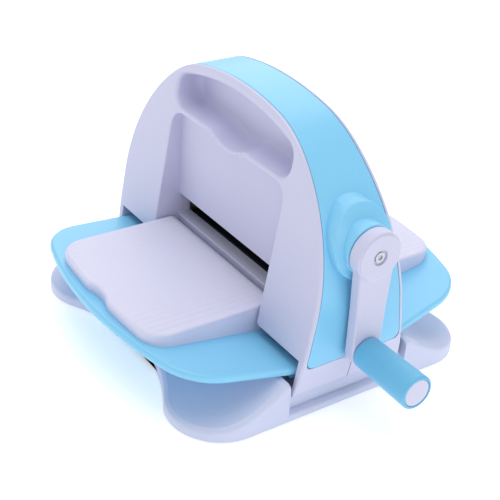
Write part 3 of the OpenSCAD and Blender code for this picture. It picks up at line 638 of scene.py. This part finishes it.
def wing_top(y):
    """height of the open wing's upper face"""
    return hinge_z - (wing_drop - 0.02) / math.cos(slope) + (-hinge_y - y) * math.tan(slope)


# steps are degrees round the knuckle at the hinge; the last one lies on the wing
soft, side_start, wing_step = 2.2, 37, 200
steps = (0, 6, 11, 16, 21, 26, 31, side_start, 45, 55, 65, 75, 85, 95, 105, 120, 140, 160, 180 + slope_degrees)
for name, body, rear in (("front_pad", "front_table", False), ("rear_pad", "rear_table", True)):
    bm = bmesh.new()
    for step in steps + (wing_step,):
        t = math.radians(step)
        inner, z = -hinge_y + knuckle * math.sin(t), hinge_z + knuckle * math.cos(t)
        if step == wing_step:
            drop = wing_drop - 0.02
            inner, z = -hinge_y - drop * math.sin(slope), hinge_z - drop * math.cos(slope)
        down = slot_floor - z
        inset = soft - math.sqrt(max(soft**2 - (soft - down) ** 2, 0)) if down < soft else 0.0
        share = (step - side_start) / (wing_step - side_start)
        points = []
        for i, (x, y) in enumerate(pad_edge(inset, inner)):
            # the six points of the inner edge follow the knuckle, the others go straight down
            if i >= 6 and down >= soft:
                points.append((x, y, slot_floor - soft + (wing_top(y) - slot_floor + soft) * share))
            else:
                points.append((x, y, z))
        if step == 0:
            loop = first_loop(bm, points)
            close_loop(bm, loop)
        else:
            loop = draw_out(bm, loop, points)
    close_loop(bm, loop)
    if rear:
        bmesh.ops.scale(bm, vec=(1, -1, 1), verts=bm.verts)
    even_shading(make_piece(name + "_skin", bm, pad_abs, body, name))

# ---- Slot floors: lavender ABS bars before and behind the rollers that guide the plates into the
# nip, each with an apron down to the base and a small round along its leading edge.
floor_abs = moulded_plastic("moulded_grey_lavender_abs", "c3c3d9", "bfbfd6", 0.40, 0.9, 0.08)
for name, rear in (("front_floor", False), ("rear_floor", True)):
    bm = bmesh.new()
    side = slot_half - 0.3
    profile = [(-24.2, 22.1), (-21.7, 22.1), (-21.7, 63.5), (-11.0, 63.5), (-11.0, 66.5), (-24.2, 66.5)]
    loop = first_loop(bm, [(-side, y, z) for y, z in profile])
    thicken(bm, close_loop(bm, loop), (2 * side / 1000, 0, 0))
    long_edges = [e for e in bm.edges if abs(e.verts[0].co.x - e.verts[1].co.x) > 0.1
        and e.verts[0].co.z > 0.0664]
    bmesh.ops.bevel(bm, geom=long_edges, affect="EDGES", offset=0.0011, segments=4, profile=0.5, material=-1)
    if rear:
        bmesh.ops.scale(bm, vec=(1, -1, 1), verts=bm.verts)
    even_shading(make_piece(name + "_skin", bm, floor_abs, "machine", name))

# ---- Crank arm: lavender ABS lever with a round hub and a raised disc, its counterbore holds the
# screw; the grip end is round, every edge is softened.
hub_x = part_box("crank_arm")[0][0] * 1000
grip_z = middle_z("grip_sleeve")
arm_abs = moulded_plastic("moulded_arm_abs", "d3d2e9", "cfcee6", 0.40, 0.9, 0.06)
bm = bmesh.new()


def lathe(bm, profile, height, steps=96):
    """spins a profile of (x, radius) points about a level axis at the given height"""
    verts = [bm.verts.new((x / 1000, 0, (height + r) / 1000)) for x, r in profile]
    edges = [bm.edges.new(pair) for pair in zip(verts, verts[1:])]
    bmesh.ops.spin(bm, geom=verts + edges, cent=(0, 0, height / 1000), axis=(1, 0, 0),
        angle=2 * math.pi, steps=steps, use_merge=True)


# hub, the raised disc in front of its face, and the counterbore
face, hub, disc, counterbore, bore_depth = hub_x + 11.0, 20, 18.55, 6.2, 3.4
lathe(bm, [(hub_x, 0), (hub_x, 18.8), (hub_x + 0.35, 19.65), (hub_x + 1.2, hub), (face - 1.4, hub),
    (face - 0.7, 19.85), (face - 0.2, 19.4), (face, 18.9), (face, disc), (face + 0.5, 18.45),
    (face + 0.72, 18.1), (face + 0.8, 17.6), (face + 0.8, 6.9), (face + 0.6, 6.4),
    (face + 0.2, counterbore), (face - bore_depth, counterbore), (face - bore_depth, 0)], crank_z)
# the lever narrows from the hub to the round end that carries the grip
neck = [(15.4, crank_z - 20.0), (14.2, crank_z - 44.0)]
outline = arc(0, crank_z, 16.3, 0, 180, 24) + [(-y, z) for y, z in neck]
outline += arc(0, grip_z, 13.3, 184, 356, 28) + neck[::-1]
loop = first_loop(bm, [(hub_x + 0.1, y, z) for y, z in outline])
thicken(bm, close_loop(bm, loop), (0.0099, 0, 0))
rim_edges = [e for e in bm.edges if abs(e.verts[0].co.x - e.verts[1].co.x) < 1e-7
    and max([len(f.verts) for f in e.link_faces] + [0]) > 30]
bmesh.ops.bevel(bm, geom=rim_edges, affect="EDGES", offset=0.0016, segments=4, profile=0.5, material=-1)
even_shading(make_piece("crank_arm_skin", bm, arm_abs, "crank", "crank_arm"))

# ---- Crank screw: bright zinc plated socket screw on a plain washer in the counterbore.
zinc, tree, shader, spot = new_finish("bright_zinc_plate")
# plating clouds about 3 mm across
cloud = add_node(tree, "ShaderNodeTexNoise", {"Scale": 350.0, "Detail": 5.0}, {"Vector": spot})
mix = add_node(tree, "ShaderNodeMix", {"data_type": "RGBA", "A": linear("cfd1d6"), "B": linear("aeb1b8")},
    {"Factor": cloud.outputs["Fac"]})
tree.links.new(mix.outputs["Result"], shader.inputs["Base Color"])
rough = add_node(tree, "ShaderNodeMapRange", {"To Min": 0.18, "To Max": 0.34}, {"Value": cloud.outputs["Fac"]})
tree.links.new(rough.outputs["Result"], shader.inputs["Roughness"])
bump = add_node(tree, "ShaderNodeBump", {"Strength": 0.08, "Distance": 0.0001}, {"Height": cloud.outputs["Fac"]})
tree.links.new(bump.outputs["Normal"], shader.inputs["Normal"])
shader.inputs["Metallic"].default_value = 1.0
seat, head_height, socket = hub_x + 8.34, 2.8, 2.0
bm = bmesh.new()
lathe(bm, [(hub_x + 6, 0), (hub_x + 6, 2.5), (seat, 2.5), (seat, 4.5), (seat + 0.4, 4.6), (seat + 2.0, 4.6),
    (seat + 2.6, 4.3), (seat + head_height, 3.8), (seat + head_height, 2.5)], crank_z, 60)


def turn_of(vert):
    """angle of a vertex about the crank axis"""
    return math.atan2(vert.co.z - crank_z / 1000, vert.co.y)


# the open rim of the head is drawn in to a six-sided socket
rim_verts = sorted({v for e in bm.edges if e.is_boundary for v in e.verts}, key=turn_of)
loop = [v for v in rim_verts if abs(v.co.x * 1000 - seat - head_height) < 0.01]
sixth = math.pi / 3
hexes = []
for t in [turn_of(vert) for vert in loop]:
    flat = socket / math.cos(((t + sixth / 2) % sixth) - sixth / 2)
    hexes.append((flat * math.cos(t), flat * math.sin(t)))
for x in (seat + 2.75, seat + 0.9):
    loop = draw_out(bm, loop, [(x, y, crank_z + z) for y, z in hexes])
close_loop(bm, loop)
make_piece("crank_screw_skin", bm, zinc, "crank", "crank_screw")

# ---- Grip: sky blue moulded sleeve that turns on its spindle, slightly thicker at the free end,
# closed by a lavender cap set just inside its rounded rim.
grip_abs = moulded_plastic("matt_blue_grip_abs", "6ebfe6", "68bae3", 0.45, 0.7, 0.03)
grip_x, grip_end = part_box("grip_sleeve")[0][0] * 1000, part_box("grip_sleeve")[1][0] * 1000
bm = bmesh.new()
lathe(bm, [(grip_x, 4.2), (grip_x, 12.0), (grip_x + 0.25, 12.7), (grip_x + 0.9, 13.0), (grip_x + 20, 13.35),
    (grip_x + 40, 13.7), (grip_end - 2.2, 14.0), (grip_end - 1.2, 13.85), (grip_end - 0.5, 13.4),
    (grip_end - 0.1, 12.7), (grip_end, 12.0), (grip_end - 0.15, 11.6), (grip_end - 0.6, 11.35),
    (grip_end - 4.0, 11.32), (grip_end - 4.0, 4.2), (grip_x, 4.2)], grip_z)
even_shading(make_piece("grip_sleeve_skin", bm, grip_abs, "grip", "grip_sleeve"))
bm = bmesh.new()
lathe(bm, [(grip_end - 3.0, 0), (grip_end - 3.0, 11.2), (grip_end - 1.0, 11.2), (grip_end - 0.55, 11.0),
    (grip_end - 0.4, 10.5), (grip_end - 0.35, 6.0), (grip_end - 0.32, 0)], grip_z)
even_shading(make_piece("grip_cap_skin", bm, arm_abs, "grip", "grip_cap"))

# ---- Inner works: steel frames, rods, rollers, gears, bushes, screws, pins and rubber feet stay as
# the machine shop makes them and only get their finishes.


def worked_metal(name, light, dark, rough_low, rough_high, marks_mm, stretch):
    """machined or plated metal with marks that run along the given stretch"""
    material, tree, shader, spot = new_finish(name)
    turned = add_node(tree, "ShaderNodeMapping", {"Scale": stretch}, {"Vector": spot})
    marks = add_node(tree, "ShaderNodeTexNoise", {"Scale": 1000.0 / marks_mm, "Detail": 4.0},
        {"Vector": turned.outputs["Vector"]})
    stain = add_node(tree, "ShaderNodeTexNoise", {"Scale": 45.0, "Detail": 3.0}, {"Vector": spot})
    blend = add_node(tree, "ShaderNodeMath", {"operation": "MULTIPLY"},
        {0: marks.outputs["Fac"], 1: stain.outputs["Fac"]})
    mix = add_node(tree, "ShaderNodeMix", {"data_type": "RGBA", "A": linear(light), "B": linear(dark)},
        {"Factor": blend.outputs[0]})
    tree.links.new(mix.outputs["Result"], shader.inputs["Base Color"])
    gloss = add_node(tree, "ShaderNodeMapRange", {"To Min": rough_low, "To Max": rough_high},
        {"Value": marks.outputs["Fac"]})
    tree.links.new(gloss.outputs["Result"], shader.inputs["Roughness"])
    bump = add_node(tree, "ShaderNodeBump", {"Strength": 0.15, "Distance": 0.0001}, {"Height": marks.outputs["Fac"]})
    tree.links.new(bump.outputs["Normal"], shader.inputs["Normal"])
    shader.inputs["Metallic"].default_value = 1.0
    return material


finishes = {
    "frame": worked_metal("galvanised_plate_steel", "b4b7bd", "8a8e96", 0.35, 0.55, 3.0, (1, 1, 1)),
    "roller": worked_metal("blackened_roller_steel", "3c3f47", "24262c", 0.30, 0.45, 0.8, (1, 0.05, 0.05)),
    "shaft": worked_metal("ground_shaft_steel", "b9bcc2", "94979e", 0.20, 0.32, 0.5, (1, 0.05, 0.05)),
    "gear": worked_metal("oiled_gear_steel", "8d9198", "63666d", 0.30, 0.50, 1.2, (0.2, 1, 1)),
    "bush": worked_metal("sintered_bronze", "a5885a", "7a6240", 0.45, 0.65, 0.4, (1, 1, 1)),
}
rubber, tree, shader, spot = new_finish("moulded_grey_rubber")
dust = add_node(tree, "ShaderNodeTexNoise", {"Scale": 600.0, "Detail": 4.0}, {"Vector": spot})
mix = add_node(tree, "ShaderNodeMix", {"data_type": "RGBA", "A": linear("3f434b"), "B": linear("555a63")},
    {"Factor": dust.outputs["Fac"]})
tree.links.new(mix.outputs["Result"], shader.inputs["Base Color"])
bump = add_node(tree, "ShaderNodeBump", {"Strength": 0.2, "Distance": 0.0002}, {"Height": dust.outputs["Fac"]})
tree.links.new(bump.outputs["Normal"], shader.inputs["Normal"])
shader.inputs["Roughness"].default_value = 0.8
finishes.update({"zinc": zinc, "rubber": rubber})
worn_by = {
    "frame": ["right_frame", "left_frame"],
    "roller": ["upper_tube", "lower_tube"],
    "shaft": ["upper_shaft", "lower_shaft", "crank_shaft", "tie_rods", "front_hinge_pins", "rear_hinge_pins",
        "grip_spindle"],
    "gear": ["upper_gear", "lower_gear", "crank_pinion"],
    "bush": ["roller_bushes", "crank_bushes"],
    "zinc": ["tie_nuts", "upper_ring", "lower_ring", "crank_ring", "crank_washer", "shell_screws",
        "base_screws", "front_pad_screws", "rear_pad_screws"],
    "rubber": ["rubber_feet"],
}
for finish, names in worn_by.items():
    for name in names:
        NODES[name].data.materials.clear()
        NODES[name].data.materials.append(finishes[finish])

# ---- Studio: a pale paper floor, four soft lights and the camera.
floor_mesh = bpy.data.meshes.new("studio_floor")
bm = bmesh.new()
bmesh.ops.create_grid(bm, x_segments=1, y_segments=1, size=6.0)
bm.to_mesh(floor_mesh)
bm.free()
studio = bpy.data.objects.new("studio_floor", floor_mesh)
bpy.context.collection.objects.link(studio)
paper = bpy.data.materials.new("matt_white_paper")
paper.use_nodes = True
shader = paper.node_tree.nodes["Principled BSDF"]
shader.inputs["Base Color"].default_value = linear("ffffff")
shader.inputs["Roughness"].default_value = 0.9
shader.inputs["Specular IOR Level"].default_value = 0.1
shader.inputs["Emission Color"].default_value = (1, 1, 1, 1)
shader.inputs["Emission Strength"].default_value = 0.35
floor_mesh.materials.append(paper)

world = bpy.data.worlds.new("studio_air")
bpy.context.scene.world = world
world.use_nodes = True
world.node_tree.nodes["Background"].inputs["Color"].default_value = (0.93, 0.96, 1.0, 1.0)
world.node_tree.nodes["Background"].inputs["Strength"].default_value = 0.6
aim = Vector((0.0, 0.0, 0.10))
for name, place, size, power, tint in (
    ("overhead_softbox", (-0.1, -0.1, 1.6), 1.2, 8.5, (1.0, 0.99, 0.98)),
    ("right_softbox", (1.7, 0.3, 0.8), 1.0, 4.0, (1.0, 0.97, 0.97)),
    ("left_fill", (-1.3, -1.3, 0.8), 1.4, 2.0, (0.92, 0.96, 1.0)),
    ("rear_softbox", (-1.2, 0.9, 1.1), 1.6, 9.0, (1.0, 1.0, 1.0)),
):
    light = bpy.data.lights.new(name, "AREA")
    light.size = size
    light.energy = power
    light.color = tint
    lamp = bpy.data.objects.new(name, light)
    bpy.context.collection.objects.link(lamp)
    lamp.location = place
    lamp.rotation_euler = (aim - Vector(place)).to_track_quat("-Z", "Y").to_euler()

camera_data = bpy.data.cameras.new("camera")
camera_data.lens = 78.15
camera_data.sensor_width = 36.0
camera_data.clip_end = 50.0
camera = bpy.data.objects.new("camera", camera_data)
bpy.context.collection.objects.link(camera)
azimuth, elevation, roll = math.radians(54.0), math.radians(30.7), math.radians(4.01)
ahead = math.cos(elevation)
forward = Vector((-math.sin(azimuth) * ahead, math.cos(azimuth) * ahead, -math.sin(elevation)))
level = Vector((math.cos(azimuth), math.sin(azimuth), 0.0))
over = level.cross(forward)
right = level * math.cos(roll) + over * math.sin(roll)
up = over * math.cos(roll) - level * math.sin(roll)
turn = Matrix((right, up, -forward)).transposed()
camera.matrix_world = Matrix.Translation((0.6453, -0.4690, 0.5362)) @ turn.to_4x4()
bpy.context.scene.camera = camera
bpy.context.scene.view_settings.view_transform = "Standard"
